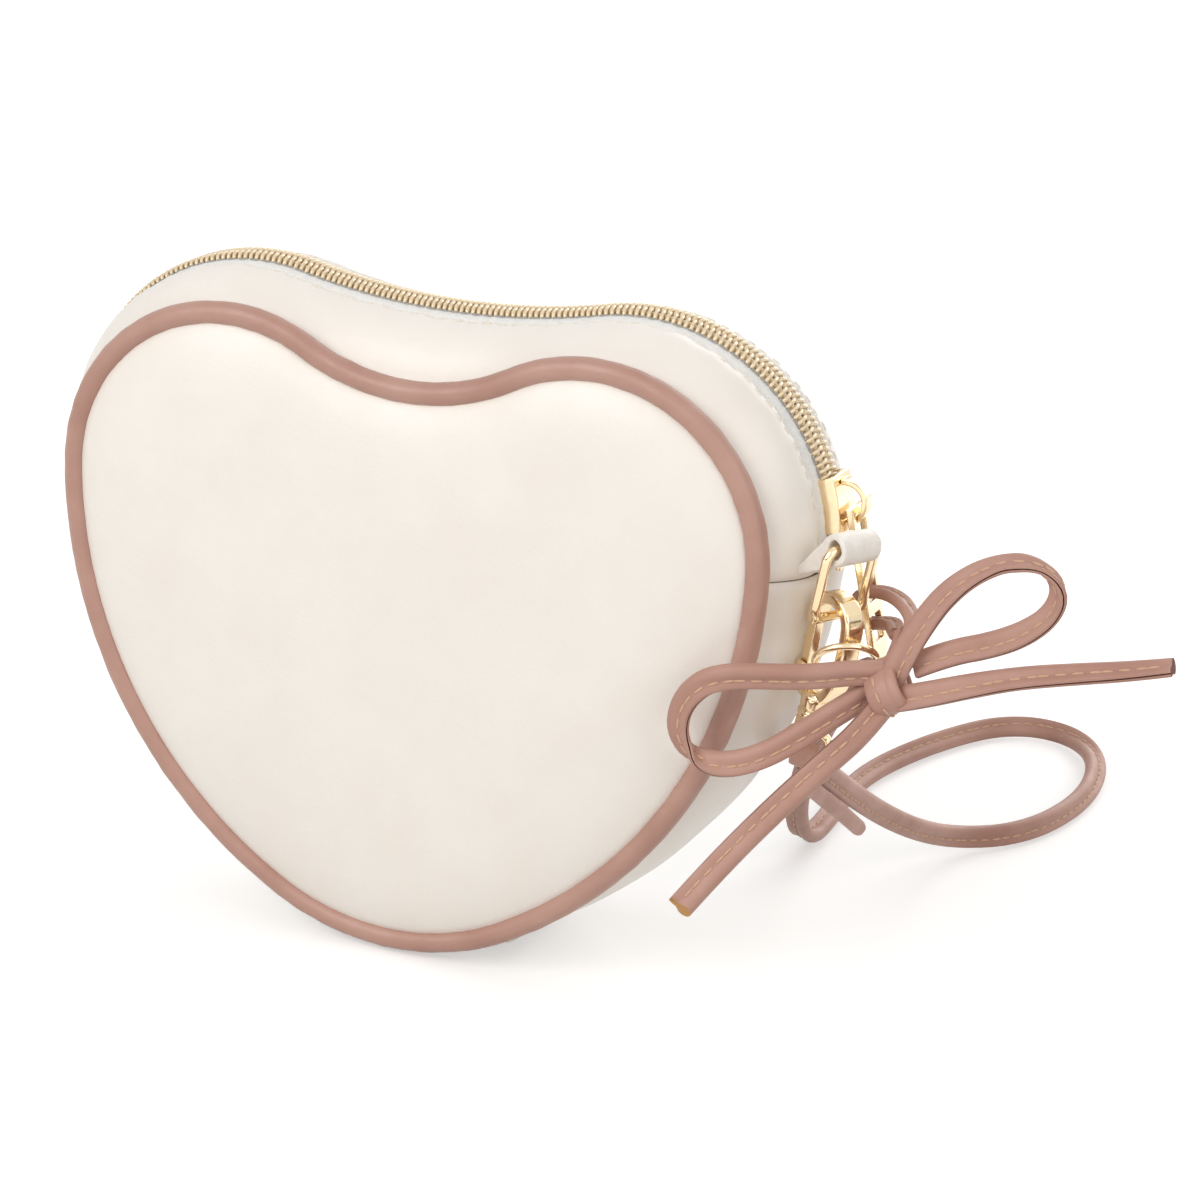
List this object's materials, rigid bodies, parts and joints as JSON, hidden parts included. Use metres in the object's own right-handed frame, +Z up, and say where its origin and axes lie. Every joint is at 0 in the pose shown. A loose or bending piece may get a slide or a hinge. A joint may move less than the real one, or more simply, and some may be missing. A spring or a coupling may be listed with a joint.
{
  "type": "heart shaped purse",
  "caption": "Padded heart shaped zip pouch with contrast piping, a ribbon bow on the zip pull and a wrist strap clipped to a side ring.",
  "frame": {"origin": "middle of the standing face under the heart's tip, midway between the padded faces", "axes": "+Z up, +X to the right lobe where the zip closes, -Y out of the front face"},
  "size_m": [0.221, 0.2034, 0.1257],
  "materials": {
    "pearl_leather": "pearl sheen, fine grain",
    "piping_leather": "satin, fine grain",
    "strap_leather": "satin, stitched",
    "lining_fabric": "plain woven",
    "padding_foam": "open cell foam",
    "zip_tape": "ribbed weave",
    "zip_coil": "metallic nylon coil",
    "gold_metal": "polished light gold plate"
  },
  "bodies": {
    "pouch": {"front_panel": "pearl_leather", "back_panel": "pearl_leather", "lower_gusset_left": "pearl_leather", "lower_gusset_right": "pearl_leather", "zip_strip_front": "pearl_leather", "zip_strip_back": "pearl_leather", "ring_tab": "pearl_leather", "front_piping": "piping_leather", "back_piping": "piping_leather", "front_lining": "lining_fabric", "back_lining": "lining_fabric", "gusset_lining": "lining_fabric", "strip_lining_front": "lining_fabric", "strip_lining_back": "lining_fabric", "front_foam": "padding_foam", "back_foam": "padding_foam", "zip_tape_front": "zip_tape", "zip_tape_back": "zip_tape", "zip_coil_front": "zip_coil", "zip_coil_back": "zip_coil", "zip_stops": "gold_metal"},
    "slider": {"zip_slider": "gold_metal", "slider_bridge": "gold_metal"},
    "pull": {"zip_pull": "gold_metal"},
    "bow": {"bow_knot": "strap_leather", "bow_left_loop": "strap_leather", "bow_right_loop": "strap_leather", "bow_right_tail": "strap_leather", "bow_front_tail": "strap_leather", "bow_hanger": "strap_leather"},
    "ring": {"tab_ring": "gold_metal"},
    "clasp": {"clasp_hook": "gold_metal", "gate_pin": "gold_metal", "gate_spring": "gold_metal"},
    "gate": {"clasp_gate": "gold_metal"},
    "strap": {"swivel_eye": "gold_metal", "strap_ring": "gold_metal", "strap_eye_fold": "strap_leather", "strap_ring_fold": "strap_leather", "wrist_strap": "strap_leather", "strap_tail": "strap_leather"}
  },
  "joints": [
    {"name": "zip_travel", "type": "hinge", "parent": "pouch", "child": "slider", "pos_m": [0.0382, 0, 0.0869], "axis": [0, -1, 0], "range_deg": [0, 80]},
    {"name": "pull_swing", "type": "hinge", "parent": "slider", "child": "pull", "pos_m": [0.07924, 0, 0.09481], "axis": [0, -1, 0], "range_deg": [0, 60]},
    {"name": "bow_swing", "type": "hinge", "parent": "pull", "child": "bow", "pos_m": [0.0836, 0, 0.07735], "axis": [0, -1, 0], "range_deg": [0, 20]},
    {"name": "ring_swing", "type": "hinge", "parent": "pouch", "child": "ring", "pos_m": [0.08352, -0.0136, 0.092], "axis": [-0.515, -0.8572, 0], "range_deg": [0, 2.5]},
    {"name": "clasp_swing", "type": "hinge", "parent": "ring", "child": "clasp", "pos_m": [0.08113, -0.01217, 0.07889], "axis": [-0.515, -0.8572, 0], "range_deg": [0, 2.5]},
    {"name": "gate_open", "type": "hinge", "parent": "clasp", "child": "gate", "pos_m": [0.07518, -0.00859, 0.0673], "axis": [0.515, 0.8572, 0], "range_deg": [0, 20], "stiffness_Nm_per_rad": 0.0005, "springref_deg": -28.65},
    {"name": "swivel_turn", "type": "hinge", "parent": "clasp", "child": "strap", "pos_m": [0.08113, -0.01217, 0.07889], "axis": [0.1636, -0.0983, 0.9816], "range_deg": [-5, 5]}
  ]
}
